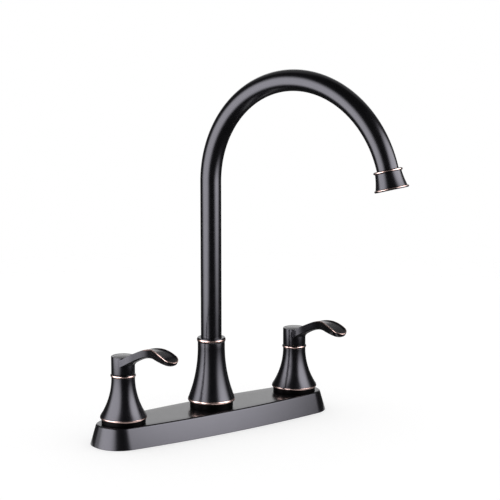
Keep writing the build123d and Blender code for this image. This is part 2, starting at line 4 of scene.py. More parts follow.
import bmesh
import bpy
import numpy as np
from bpy.props import FloatProperty, FloatVectorProperty, IntProperty, PointerProperty
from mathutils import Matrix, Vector

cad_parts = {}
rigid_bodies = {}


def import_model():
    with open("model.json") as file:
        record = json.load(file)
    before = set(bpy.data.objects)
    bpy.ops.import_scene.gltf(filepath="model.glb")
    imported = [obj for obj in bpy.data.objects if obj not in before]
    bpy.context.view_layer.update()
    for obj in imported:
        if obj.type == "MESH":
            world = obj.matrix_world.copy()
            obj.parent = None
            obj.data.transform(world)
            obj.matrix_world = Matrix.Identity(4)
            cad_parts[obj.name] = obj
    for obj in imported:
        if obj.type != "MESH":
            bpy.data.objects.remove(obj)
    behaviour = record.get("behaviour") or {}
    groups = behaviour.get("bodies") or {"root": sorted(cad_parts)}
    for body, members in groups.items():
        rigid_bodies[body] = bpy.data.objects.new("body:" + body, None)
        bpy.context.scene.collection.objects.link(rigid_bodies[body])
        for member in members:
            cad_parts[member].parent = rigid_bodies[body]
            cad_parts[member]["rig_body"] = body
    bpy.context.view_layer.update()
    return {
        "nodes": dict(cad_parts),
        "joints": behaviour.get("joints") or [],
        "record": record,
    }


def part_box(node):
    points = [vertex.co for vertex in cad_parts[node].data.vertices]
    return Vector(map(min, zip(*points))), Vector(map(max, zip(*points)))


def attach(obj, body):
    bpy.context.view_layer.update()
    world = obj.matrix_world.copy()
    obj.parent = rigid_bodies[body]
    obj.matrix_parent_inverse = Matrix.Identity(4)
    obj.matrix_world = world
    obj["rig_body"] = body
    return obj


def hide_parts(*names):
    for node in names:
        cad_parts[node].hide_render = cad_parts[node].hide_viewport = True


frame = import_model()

bl_info = {
    "name": "Two Handle Kitchen Faucet",
    "version": (1, 0, 0),
    "blender": (4, 5, 0),
    "location": "3D View > Sidebar > Faucet",
    "description": "Builds the finished surfaces, materials and studio of a two handle kitchen faucet",
    "category": "Add Mesh",
}

MM = 0.001


def span(name):
    """Lowest and highest height of a CAD node, in millimetres."""
    low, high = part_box(name)
    return low.z / MM, high.z / MM


# ---- places and forms, in millimetres ----------------------------------------
# Axes and heights come from the frame where it has them. The rest are the real pieces' sizes.
AXIS = {joint["child"]: joint["pos_m"][0] / MM for joint in frame["joints"]}
SIDES = {"left": AXIS["left_handle"], "right": AXIS["right_handle"]}

PLATE_TOP = span("deck_plate")[1]
PLATE_LENGTH = 2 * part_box("deck_plate")[1].x / MM
PLATE_MIDDLE_WIDTH = 2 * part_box("deck_plate")[1].y / MM
PLATE_END_WIDTH = 48.0  # of the bow, where it would meet the ends
PLATE_DRAFT = 5.4  # how far the walls lean in from foot to top
PLATE_WALL = 2.5
PLATE_CEILING = PLATE_TOP - PLATE_WALL  # of the hollow underneath
CORNER_SHARE = 1.04  # corner radius over half the end width

BELL_TOP = span("left_bell")[1]
RING_TOP = span("left_bell_ring")[1]
HUB_FOOT = span("left_lever_handle")[0]
HUB_TOP = HUB_FOOT + 16.3

TUBE_RADIUS = 9.8
TUBE_BORE = 8.6
TUBE_FOOT = span("spout_tube")[0]
TUBE_TAIL = 8.0  # straight end past the arch
TUBE_SHORT = 0.3  # the drawn tube stops this far short of the CAD tube's ends
ARCH_RADIUS = 100.4
ARCH_FOOT = 235.0  # height where the arch starts
ARCH_SWEEP = radians(165)
SPOUT_TURN = radians(15)  # off straight ahead, towards the right handle
FORWARD = np.array((np.sin(SPOUT_TURN), -np.cos(SPOUT_TURN), 0.0))
ACROSS = np.array((np.cos(SPOUT_TURN), np.sin(SPOUT_TURN), 0.0))
UP = np.array((0.0, 0.0, 1.0))


# ---- settings ----------------------------------------------------------------
def linear(code):
    """Linear colour with alpha for an sRGB hex value."""
    value = np.array([int(code[i:i + 2], 16) for i in (1, 3, 5)]) / 255
    return (*np.where(value <= 0.04045, value / 12.92, ((value + 0.055) / 1.055) ** 2.4), 1.0)


class FaucetSizes(bpy.types.PropertyGroup):
    """Sizes that a user would change without changing the part's own dimensions."""
    edge_round: FloatProperty(
        name="Edge Rounding", description="Rounding of the turned edges", default=0.00035, unit="LENGTH")
    plate_edge: FloatProperty(
        name="Plate Edge", description="Rounding of the deck plate's upper edge", default=0.0017,
        unit="LENGTH")
    rim_width: FloatProperty(
        name="Lever Rim", description="Width of the raised rim round the lever's dish", default=0.00095,
        unit="LENGTH")
    dish_depth: FloatProperty(
        name="Lever Dish", description="Depth of the hollow in the lever's paddle", default=0.0011,
        unit="LENGTH")
    thread_pitch: FloatProperty(
        name="Thread Pitch", description="Pitch of the pipe thread on the shanks", default=0.001814,
        unit="LENGTH")
    thread_depth: FloatProperty(
        name="Thread Depth", description="Depth of the pipe thread on the shanks", default=0.0012,
        unit="LENGTH")
    circle_steps: IntProperty(
        name="Circle Steps", description="Points round each turned piece", default=144, min=24)


class FaucetColours(bpy.types.PropertyGroup):
    """Colours of the finishes."""
    bronze: FloatVectorProperty(
        name="Bronze", description="Oil-rubbed bronze, away from its edges", subtype="COLOR", size=4,
        default=linear("#39383d"))
    bronze_brown: FloatVectorProperty(
        name="Bronze Brown", description="Oil-rubbed bronze where it starts to wear", subtype="COLOR",
        size=4, default=linear("#5f3a31"))
    near_black: FloatVectorProperty(
        name="Near Black Metal", description="Dull black feet under the bells", subtype="COLOR", size=4,
        default=linear("#100f10"))
    rubbed: FloatVectorProperty(
        name="Rubbed Copper", description="Copper that shows on the rubbed crests", subtype="COLOR", size=4,
        default=linear("#ecccc4"))
    brass: FloatVectorProperty(
        name="Brass", description="Turned valve brass", subtype="COLOR", size=4, default=linear("#d6b56a"))
    copper: FloatVectorProperty(
        name="Copper", description="Drawn copper tube", subtype="COLOR", size=4, default=linear("#cf8b68"))
    ceramic: FloatVectorProperty(
        name="Ceramic", description="Lapped valve discs", subtype="COLOR", size=4,
        default=linear("#e9e6df"))
    rubber: FloatVectorProperty(
        name="Rubber", description="Moulded seals", subtype="COLOR", size=4, default=linear("#1d1d1e"))
    acetal: FloatVectorProperty(
        name="Acetal", description="Moulded bearing rings and aerator insert", subtype="COLOR", size=4,
        default=linear("#e4e3dd"))
    nylon: FloatVectorProperty(
        name="Nylon", description="Moulded plate under the deck plate, and nuts", subtype="COLOR", size=4,
        default=linear("#232326"))
    steel: FloatVectorProperty(
        name="Steel", description="Machined stainless screws", subtype="COLOR", size=4,
        default=linear("#b9b9bb"))


class FaucetStudio(bpy.types.PropertyGroup):
    """Light and surroundings."""
    box_light: FloatProperty(
        name="Box Light", description="Brightness of the soft panels and glows, as seen in the metal",
        default=4.1)
    floor_radius: FloatProperty(
        name="Floor Radius", description="Size of the pale floor, as the camera sees it", default=0.95,
        unit="LENGTH")
    lens: FloatProperty(
        name="Lens", description="Focal length of the camera", default=150.47, unit="CAMERA")


# ---- surfaces ----------------------------------------------------------------
def rows(*parts):
    """Stacks profile rows: radius, height, rounding and rubbing of each corner, the last two often zero."""
    return np.vstack([np.pad(row, (0, 4 - len(row))) for part in parts for row in np.atleast_2d(part)])


def outline(*parts, steps=5):
    """Line through corners, each cut by a parabola that leaves one side and meets the next.

    The parabola reaches along each side by the corner's rounding, and no further than 0.45 of it.
    Gives the radius, height and rubbing of each point, and drops points that repeat the one before.
    """
    corners = rows(*parts)
    line = corners[:, (0, 1, 3)]

    def meeting(shift):
        """Where each corner's parabola meets the side towards the neighbour that a shift brings up."""
        side = np.roll(line, shift, 0) - line
        length = np.maximum(np.hypot(side[:, 0], side[:, 1]), 1e-9)
        return (line + side * np.minimum(corners[:, 2] / length, 0.45)[:, None])[:, None]

    t = np.linspace(0, 1, steps)[None, :, None]
    curve = (1 - t) ** 2 * meeting(1) + 2 * t * (1 - t) * line[:, None] + t ** 2 * meeting(-1)
    curve = curve.reshape(-1, 3)
    step = curve[:, :2] - np.roll(curve[:, :2], 1, 0)
    return curve[np.hypot(step[:, 0], step[:, 1]) > 1e-4]


def ease(share):
    """Smooth step 3 s^2 - 2 s^3 of a share s, which is first cut to the range from 0 to 1."""
    share = np.clip(share, 0, 1)
    return share * share * (3 - 2 * share)


def arc(start, middle, end, count, band=0.0):
    """Circle through three points, as profile rows; a band about its middle point is rubbed.

    The centre is where the two chords' middle lines cross. Along the arc, the rubbing is full as far as half
    the band from the middle point, and falls from there to none at one and a half bands.
    """
    start, middle, end = (np.array(point, float) for point in (start, middle, end))
    chords = 2 * np.array((middle - start, end - middle))
    centre = np.linalg.solve(chords, (middle @ middle - start @ start, end @ end - middle @ middle))
    angles = [np.arctan2(*(point - centre)[::-1]) for point in (start, middle, end)]
    low, half, high = np.unwrap(angles)
    angle = np.linspace(low, high, count)
    radius = np.linalg.norm(start - centre)
    rubbed = ease(1.5 - radius * np.abs(angle - half) / max(band, 1e-6)) * (band > 0)
    return np.column_stack((centre[0] + radius * np.cos(angle), centre[1] + radius * np.sin(angle),
                            0 * angle, rubbed))


def flare(top, foot, count):
    """Arc that leaves the top point straight down and ends at the foot, which stands further out."""
    across, down = foot[0] - top[0], top[1] - foot[1]
    radius = (across ** 2 + down ** 2) / (2 * across)
    angle = np.linspace(0, np.arcsin(down / radius), count)
    return np.column_stack((top[0] + radius * (1 - np.cos(angle)), top[1] - radius * np.sin(angle),
                            0 * angle, 0 * angle))


def smooth(keys, values, at):
    """Natural cubic through the keys: second differences solved as one linear system."""
    keys, values = np.asarray(keys, float), np.asarray(values, float)
    gap, slope = np.diff(keys), np.diff(values) / np.diff(keys)
    system = np.eye(len(keys))
    inner = np.arange(1, len(keys) - 1)
    system[inner, inner - 1], system[inner, inner + 1] = gap[:-1], gap[1:]
    system[inner, inner] = 2 * (gap[:-1] + gap[1:])
    bend = np.linalg.solve(system, np.concatenate(([0], 6 * np.diff(slope), [0])))
    i = np.clip(np.searchsorted(keys, at, side="right") - 1, 0, len(gap) - 1)
    t = at - keys[i]
    line = slope[i] - gap[i] * (2 * bend[i] + bend[i + 1]) / 6
    return values[i] + t * (line + t * (bend[i] / 2 + t * (bend[i + 1] - bend[i]) / (6 * gap[i])))


def straight(x=0.0, origin=None, along=UP):
    """Straight path, upright at an x unless told otherwise: distances along it to places and directions.

    The two directions stand square to the path, and the first also to the line across the spout.
    """
    origin = np.array((x, 0.0, 0.0)) if origin is None else origin
    side = np.cross(along, ACROSS)
    side /= np.linalg.norm(side)
    other = np.cross(along, side)

    def path(distance):
        place = origin + distance[:, None] * along
        return place, np.tile(side, (len(distance), 1)), np.tile(other, (len(distance), 1))
    return path


def spout_path(distance):
    """Path of the spout's tube: up its leg, round the arch, and straight on into the outlet."""
    leg = ARCH_FOOT - TUBE_FOOT
    turn = np.clip((distance - leg) / ARCH_RADIUS, 0, ARCH_SWEEP)[:, None]
    tail = np.maximum(distance - leg - ARCH_RADIUS * ARCH_SWEEP, 0)[:, None]
    along = np.sin(turn) * FORWARD + np.cos(turn) * UP
    height = TUBE_FOOT + np.minimum(distance, leg)[:, None]
    place = ARCH_RADIUS * (1 - np.cos(turn)) * FORWARD + (height + ARCH_RADIUS * np.sin(turn)) * UP
    side = np.cos(turn) * FORWARD - np.sin(turn) * UP
    return place + tail * along, side, np.cross(along, side)


def carried(profile, path, steps, thread=None):
    """Profile carried round a path: radius times a circle's two parts, at the height's place.

    A thread takes its depth off the radius, as a flattened saw wave of height over pitch plus turn.
    """
    angle = np.linspace(0, 2 * pi, steps, endpoint=False)[None, :]
    radius = np.repeat(profile[:, :1], steps, 1)
    if thread is not None:
        depth, pitch = thread
        phase = (profile[:, 1:2] / pitch - angle / (2 * pi)) % 1
        radius = radius - depth[:, None] * np.clip(1.7 * np.abs(2 * phase - 1) - 0.35, 0, 1)
    place, side, other = path(profile[:, 1])
    points = (place[:, None] + (radius * np.cos(angle))[..., None] * side[:, None]
              + (radius * np.sin(angle))[..., None] * other[:, None])
    return points, np.repeat(profile[:, 2:3], steps, 1), True


def skin(name, patches):
    """Mesh object of quads over grids of points, given in millimetres and put down in metres.

    Each patch is a grid of places, the rubbing there, and whether its rows close on themselves; its
    columns always do. Points less than 2 micrometres apart, at seams and poles, are merged, and then all
    normals point outwards. Edges that turn by more than 32 degrees stay sharp.
    """
    mesh = bpy.data.meshes.new(name)
    points, wear, faces, count = [], [], [], 0
    for grid, rubbing, closed in patches:
        high, wide = grid.shape[:2]
        i, j = np.meshgrid(np.arange(high if closed else high - 1), np.arange(wide), indexing="ij")
        up, on = (i + 1) % high, (j + 1) % wide
        corners = (i * wide + j, i * wide + on, up * wide + on, up * wide + j)
        faces.append(np.stack(corners, -1).reshape(-1, 4) + count)
        points.append(grid.reshape(-1, 3) * MM)
        wear.append(np.broadcast_to(rubbing, grid.shape[:2]).reshape(-1))
        count += high * wide
    mesh.from_pydata(np.concatenate(points).tolist(), [], np.concatenate(faces).tolist())
    layer = mesh.attributes.new("rubbed", "FLOAT", "POINT")
    layer.data.foreach_set("value", np.concatenate(wear).astype(np.float32))
    shape = bmesh.new()
    shape.from_mesh(mesh)
    bmesh.ops.remove_doubles(shape, verts=shape.verts, dist=2e-6)
    bmesh.ops.recalc_face_normals(shape, faces=shape.faces)
    shape.to_mesh(mesh)
    shape.free()
    mesh.shade_smooth()
    mesh.set_sharp_from_angle(angle=radians(32))
    piece = bpy.data.objects.new(name, mesh)
    bpy.context.scene.collection.objects.link(piece)
    return piece


def fit(piece, node, finish):
    """Puts a finish on a piece that stands for a node of the frame, and makes it ride with it."""
    piece.data.materials.append(finish)
    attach(piece, NODE_BODY[node])
    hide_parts(node)


def turned(node, finish, profile, path):
    """A turned piece that stands for a node: its profile carried round a straight path."""
    steps = bpy.context.scene.faucet_sizes.circle_steps
    fit(skin(node + "_finished", [carried(profile, path, steps)]), node, finish)


# ---- materials ---------------------------------------------------------------
def node(tree, kind, links=(), **settings):
    """Adds a node with its settings; links pairs a socket's name or number with a value or an output."""
    made = tree.nodes.new(kind)
    for name, value in settings.items():
        setattr(made, name, value)
    for socket, value in links:
        if isinstance(value, bpy.types.NodeSocket):
            tree.links.new(value, made.inputs[socket])
        else:
            made.inputs[socket].default_value = value
    return made


def maths(tree, operation, *values):
    """Result of a Math node over numbers or outputs."""
    return node(tree, "ShaderNodeMath", enumerate(values), operation=operation).outputs[0]


def vectors(tree, operation, *values):
    """Result of a Vector Math node, which is a number for a length or a dot product."""
    made = node(tree, "ShaderNodeVectorMath", enumerate(values), operation=operation)
    return made.outputs["Value" if operation in ("LENGTH", "DOT_PRODUCT") else "Vector"]


def spread(tree, value, low, high, start=0.35, end=0.65):
    """Maps a pattern's middle range to a range of values."""
    return node(tree, "ShaderNodeMapRange", [
        ("Value", value), ("From Min", start), ("From Max", end), ("To Min", low),
        ("To Max", high)]).outputs[0]


def smooth_step(tree, value, start, end):
    """Rises from 0 to 1 between two values, without corners."""
    return node(tree, "ShaderNodeMapRange", interpolation_type="SMOOTHSTEP", links=[
        ("Value", value), ("From Min", start), ("From Max", end)]).outputs[0]


def blend(tree, share, first, second):
    """Mixes two colours."""
    links = [(0, share), (6, first), (7, second)]
    return node(tree, "ShaderNodeMix", links, data_type="RGBA").outputs[2]


def surface(name, base, roughness, **constants):
    """Material with one Principled shader, its constant sockets set, and its tree ready for patterns."""
    made = bpy.data.materials.new(name)
    made.use_nodes = True
    tree = made.node_tree
    shader = tree.nodes["Principled BSDF"]
    shader.inputs["Base Color"].default_value = base
    shader.inputs["Roughness"].default_value = roughness
    for socket, value in constants.items():
        shader.inputs[socket.replace("_", " ")].default_value = value
    made.diffuse_color = base
    return tree, shader


def shaded(colour, factor):
    """Colour made lighter or darker by a factor."""
    return (*[factor * c for c in colour[:3]], 1.0)


def grain(tree, size, detail=2.0, stretch=(1, 1, 1)):
    """Noise of a grain size in millimetres on Object coordinates, stretched along an axis if asked."""
    place = node(tree, "ShaderNodeTexCoord").outputs["Object"]
    scaled = node(tree, "ShaderNodeMapping", [("Vector", place), ("Scale", stretch)]).outputs[0]
    made = node(tree, "ShaderNodeTexNoise",
                [("Vector", scaled), ("Scale", 1 / (size * MM)), ("Detail", detail)])
    return made.outputs["Fac"]


def relief(tree, shader, height, depth, strength=1.0):
    """Bump of a depth in millimetres."""
    bump = node(tree, "ShaderNodeBump", [
        ("Height", height), ("Distance", depth * MM), ("Strength", strength)])
    tree.links.new(bump.outputs[0], shader.inputs["Normal"])


def oil_rubbed_bronze(colours):
    """Plated brass, darkened, sealed with a thin clear lacquer and rubbed by hand on its crests.

    The dark plating gives a near-black metal with soft, very slightly mottled reflections. The lacquer adds
    a sharper, weaker reflection. Rubbed crests are pale copper, with a thin brown fringe.
    """
    tree, shader = surface("oil_rubbed_bronze", colours.bronze, 0.25, Metallic=1.0, Coat_Weight=0.35,
                           Coat_Roughness=0.12)
    wear = node(tree, "ShaderNodeAttribute", attribute_name="rubbed").outputs["Fac"]
    scuffs = grain(tree, 1.2)
    mottle = grain(tree, 9.0)
    worn = maths(tree, "ADD", wear, maths(tree, "MULTIPLY_ADD", scuffs, 0.24, -0.12))
    dark = blend(tree, spread(tree, mottle, 0.0, 1.0), colours.bronze, shaded(colours.bronze, 1.05))
    brown = blend(tree, spread(tree, worn, 0.0, 1.0, 0.1, 0.35), dark, colours.bronze_brown)
    colour = blend(tree, spread(tree, worn, 0.0, 1.0, 0.35, 0.6), brown, colours.rubbed)
    tree.links.new(colour, shader.inputs["Base Color"])
    tree.links.new(spread(tree, mottle, 0.24, 0.26), shader.inputs["Roughness"])
    # The plating's own grain is some 0.05 mm, too fine to show, so it is drawn at 0.5 mm.
    relief(tree, shader, grain(tree, 0.5), 0.0005, 0.5)


def near_black_metal(colours):
    """The bells' feet: a dull, near-black metal with no coat and no rubbing, darker than the bronze above
    them.
    """
    tree, shader = surface("near_black_metal", colours.near_black, 0.42, Metallic=1.0)
    tree.links.new(spread(tree, grain(tree, 1.2), 0.38, 0.46), shader.inputs["Roughness"])


def turned_metal(name, base, roughness, feed=0.35, cut=0.004):
    """Machined metal: a tool leaves fine rings round the axis, which draw the light into a soft streak.

    A finishing cut feeds about 0.1 mm a turn, too fine to show, so its rings are drawn wider.
    """
    tree, shader = surface(name, base, roughness, Metallic=1.0)
    place = node(tree, "ShaderNodeTexCoord").outputs["Object"]
    # One ring of the wave is 2 pi over twenty times its scale.
    rings = node(tree, "ShaderNodeTexWave", [
        ("Vector", place), ("Scale", 2 * pi / 20 / (feed * MM)), ("Distortion", 0.6)], bands_direction="Z")
    stain = grain(tree, 5.0, 3.0)
    colour = blend(tree, spread(tree, stain, 0.0, 1.0), base, shaded(base, 0.8))
    tree.links.new(colour, shader.inputs["Base Color"])
    tree.links.new(spread(tree, stain, roughness, roughness + 0.1), shader.inputs["Roughness"])
    relief(tree, shader, rings.outputs["Fac"], cut)


def drawn_copper(colours):
    """Copper tube pulled through a die: faint streaks run along it, and it dulls in patches."""
    tree, shader = surface("drawn_copper", colours.copper, 0.3, Metallic=1.0)
    streaks = grain(tree, 0.6, stretch=(0.03, 1, 1))
    colour = blend(tree, spread(tree, grain(tree, 9.0), 0, 1), colours.copper, shaded(colours.copper, 0.7))
    tree.links.new(colour, shader.inputs["Base Color"])
    tree.links.new(spread(tree, streaks, 0.24, 0.38), shader.inputs["Roughness"])
    relief(tree, shader, streaks, 0.01)


def moulded(name, base, roughness, grain_size, depth, **constants):
    """Moulded polymer, rubber or ceramic: even colour, with the fine grain of its mould or lap."""
    tree, shader = surface(name, base, roughness, **constants)
    colour = blend(tree, spread(tree, grain(tree, 8.0), 0, 1), base, shaded(base, 0.88))
    tree.links.new(colour, shader.inputs["Base Color"])
    texture = grain(tree, grain_size)
    tree.links.new(spread(tree, texture, roughness - 0.04, roughness + 0.06), shader.inputs["Roughness"])
    relief(tree, shader, texture, depth)


def finishes():
    """All finishes by the record's material slot, made once."""
    if "oil_rubbed_bronze" not in bpy.data.materials:
        colours = bpy.context.scene.faucet_colours
        oil_rubbed_bronze(colours)
        near_black_metal(colours)
        turned_metal("turned_brass", colours.brass, 0.24)
        drawn_copper(colours)
        # Lapped alumina is almost a mirror when wet, and an even satin white when dry.
        moulded("lapped_alumina", colours.ceramic, 0.16, 0.6, 0.001, IOR=1.76)
        # Nitrile rubber straight from the mould is matt and shows a slight pebble.
        moulded("moulded_nitrile_rubber", colours.rubber, 0.68, 0.5, 0.01, IOR=1.52)
        # Acetal is a waxy white that lets a little light in.
        moulded("moulded_acetal", colours.acetal, 0.36, 0.8, 0.003, IOR=1.48, Subsurface_Weight=0.1,
                Subsurface_Scale=0.001)
        # Glass-filled nylon has a dry sheen from its spark-eroded mould.
        moulded("moulded_nylon", colours.nylon, 0.48, 0.45, 0.012, IOR=1.53)
        turned_metal("machined_stainless", colours.steel, 0.26, feed=0.3, cut=0.003)
    names = {
        "satin_bronze": "oil_rubbed_bronze", "rubbed_bronze": "oil_rubbed_bronze",
        "brass": "turned_brass", "copper_tube": "drawn_copper", "white_ceramic": "lapped_alumina",
        "black_rubber": "moulded_nitrile_rubber", "white_acetal": "moulded_acetal",
        "black_plastic": "moulded_nylon", "stainless": "machined_stainless",
    }
    return {slot: bpy.data.materials[name] for slot, name in names.items()}


NODE_BODY = {name: piece["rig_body"] for name, piece in frame["nodes"].items()}
NODE_SLOT = {part["node"]: part["material_slot"] for part in frame["record"]["subparts"]}


# ---- deck plate --------------------------------------------------------------
def plate_loops(inset):
    """Loops of the bowed outline, one for each inset.

    The bow's radius is (L^2 + (M - E)^2) / (2 (M - E)) for half length L, half middle width M and half end
    width E. The corner's circle touches the bow from inside and the end's line. One quarter runs along the
    bow and round the corner, and its mirror images make the rest.
    """
    inset = np.asarray(inset, float)[:, None]
    length, middle, end = (size / 2 - inset for size in (PLATE_LENGTH, PLATE_MIDDLE_WIDTH, PLATE_END_WIDTH))
    bow = (length ** 2 + (middle - end) ** 2) / (2 * (middle - end))
    corner = CORNER_SHARE * end
    centre = bow - middle
    corner_x = length - corner
    corner_y = centre - np.sqrt((bow - corner) ** 2 - corner_x ** 2)
    touch = np.arctan2(corner_y - centre, corner_x)
    along = -pi / 2 + (touch + pi / 2) * np.linspace(0, 1, 60)[None, :]
    round_ = touch * (1 - np.linspace(0, 1, 40)[None, 1:])
    x = np.hstack((bow * np.cos(along), corner_x + corner * np.cos(round_)))
    y = np.hstack((centre + bow * np.sin(along), corner_y + corner * np.sin(round_)))
    front = np.stack((x, y), -1)
    half = np.hstack((front, front[:, ::-1] * (1, -1)))
    return np.hstack((half, half[:, ::-1] * (-1, 1)))


class FAUCET_OT_deck_plate(bpy.types.Operator):
    """Deck plate: drafted walls on a bowed outline, a rounded upper edge and a hollow underside"""
    bl_idname = "faucet.deck_plate"
    bl_label = "Deck Plate"

    def execute(self, context):
        edge = context.scene.faucet_sizes.plate_edge / MM
        lean = PLATE_DRAFT / PLATE_TOP
        hollow = PLATE_WALL + lean * PLATE_CEILING
        ledge = 9  # how far the loops follow the outline on the top and on the hollow's ceiling
        line = outline(
            (hollow + ledge, PLATE_CEILING), (hollow, PLATE_CEILING, 1.0), (PLATE_WALL, 0, 0.2), (0, 0, 0.35),
            (lean * 0.8, 0.8), (PLATE_DRAFT, PLATE_TOP, edge), (PLATE_DRAFT + ledge, PLATE_TOP), steps=9)
        # The section starts at the ledge on the ceiling, and ends at the one on the top.
        line = np.roll(line, -np.argmax(line[:, 0] * (line[:, 1] < PLATE_TOP - 1)), 0)
        loops = plate_loops(line[:, 0])
        grid = np.dstack((loops, np.repeat(line[:, 1:2], loops.shape[1], 1)))
        # Inside the ledges, five more loops flatten onto the plate's long axis and close it.
        fade = np.linspace(1, 0, 6)[:, None, None]
        flat = (1.0, 0.0, 1.0) + fade * (0.0, 1.0, 0.0)
        inner, upper = grid[:1] * flat[::-1], grid[-1:] * flat
        grid = np.vstack((inner[:-1], grid, upper[1:]))
        piece = skin("deck_plate_finished", [(grid, 0.0, False)])
        fit(piece, "deck_plate", finishes()["satin_bronze"])
        return {"FINISHED"}


# ---- bells, their feet, rings and collar -------------------------------------
SIDE_BASE, SPOUT_BASE = 20.5, 21.2  # radii of the bells at their feet
SIDE_NECK, SPOUT_NECK = 10.9, 12.85  # and of their straight necks


def bell_profile(foot, base, inside, neck, neck_foot, top, wear):
    """Bell's section: bore, top edge, flare down to its rim, the rubbed band round the rim, and the foot.

    Foot, neck foot and top are heights, base and neck are radii, and wear is half the rubbed band's width.
    """
    rim, rim_radius, edge = foot + 2.45, base + 1.05, 0.15
    return outline(
        inside, (neck, top, edge), flare((neck, neck_foot), (rim_radius, rim), 40)[:-1],
        (rim_radius, rim, edge),
        arc((base + 0.95, rim - 0.2), (base + 1.25, foot + 1.0), (base + 0.85, foot + 0.05), 25, wear),
        (base - 0.2, foot, 0.1), (base - 2, foot, 0.2))


class FAUCET_OT_bells(bpy.types.Operator):
    """Base flanges, flared bells, their beaded rings and the spout's collar"""
    bl_idname = "faucet.bells"
    bl_label = "Bells"

    def execute(self, context):
        edge = context.scene.faucet_sizes.edge_round / MM
        finish = finishes()
        bore, spigot, seat = 7.85, 9.05, BELL_TOP - 2.5  # the ring stands 2.5 mm deep in its bell
        for side, x in SIDES.items():
            foot = span(side + "_bell")[0]
            # A cone, the thread on the valve body, a narrower bore and that for the ring's spigot.
            inside = rows((18.5, foot + 4), (12.3, 36.7), (11, 38), (11, 46.4), (10.1, 47.3), (10.1, 52),
                          (9.1, 53), (9.1, BELL_TOP, 0.2))
            profile = bell_profile(foot, SIDE_BASE, inside, SIDE_NECK, 62.0, BELL_TOP, 0.65)
            turned(side + "_bell", finish["satin_bronze"], profile, straight(x))
            ring = outline(
                (bore, RING_TOP, 0.2), (bore, seat, 0.2), (spigot, seat, 0.2), (spigot, BELL_TOP),
                (10.7, BELL_TOP),
                arc((10.75, BELL_TOP + 0.1), (11.75, BELL_TOP + 1.6), (10.75, RING_TOP - 0.1), 25, 0.6),
                (10.7, RING_TOP))
            turned(side + "_bell_ring", finish["rubbed_bronze"], ring, straight(x))

        foot, top = span("spout_bell")
        inside = rows((19.2, foot + 4), (12.3, 58.7), (11, 60), (11, top, 0.2))
        profile = bell_profile(foot, SPOUT_BASE, inside, SPOUT_NECK, 77.0, top, 2.0)
        turned("spout_bell", finish["satin_bronze"], profile, straight())
        crest = span("spout_collar")[1]
        bore, spigot = 10.1, 10.95
        collar = outline(
            (bore, crest, 0.3), (bore, top - 2), (spigot, top - 2), (spigot, top), (SPOUT_NECK, top),
            arc((SPOUT_NECK, top + 0.05), (13.6, (top + crest) / 2), (SPOUT_NECK, crest - 0.05), 25, 0.8),
            (12.6, crest, 0.2))
        turned("spout_collar", finish["rubbed_bronze"], collar, straight())

        # A flange's lip stands 1.5 mm above its seat and centres the bell.
        black = bpy.data.materials["near_black_metal"]
        bore, base = 11.4, 20.5
        for name, lip in (("left", 18.3), ("spout", 19.0), ("right", 18.3)):
            low, high = span(name + "_base_flange")
            seat, floor = high - 1.5, low + 3
            profile = outline(
                (bore, low), (base, low, 0.5), (base, seat, edge), (lip, seat), (lip, high, 0.2),
                (lip - 2, high, 0.2), (lip - 2, floor), (bore, floor, 0.2))
            turned(name + "_base_flange", black, profile, straight(SIDES.get(name, 0.0)))
        return {"FINISHED"}


# ---- lever handles -----------------------------------------------------------
# Reach from the hub's axis, upper edge and underside by height, half width, and belly over half width.
LEVER = np.array((
    (0.0, 77.4, 69.1, 10.5, 1.0), (5.8, 79.9, 71.9, 9.2, 1.0), (9.3, 81.8, 73.9, 7.55, 1.0),
    (13.95, 84.8, 76.5, 5.9, 1.0), (23.25, 89.35, 81.2, 4.7, 1.0), (34.1, 93.8, 85.6, 4.0, 1.0),
    (44.2, 96.6, 87.5, 4.3, 0.99), (52.7, 97.2, 87.2, 6.1, 0.95), (61.2, 95.7, 86.2, 7.65, 0.88),
    (68.2, 93.6, 85.1, 7.8, 0.76), (73.2, 91.4, 85.4, 7.8, 0.66), (77.4, 89.3, 87.0, 7.7, 0.60)))
TOE_IN = radians(2.2)  # closed levers stand this far round from straight ahead, towards the spout
TIP_START = 69.5  # where the paddle's end starts to round off
LEVER_ROUND = 0.3  # how far the rim's round edge drops
KEEL_SHARE = 0.2  # height of the keel over that of the section


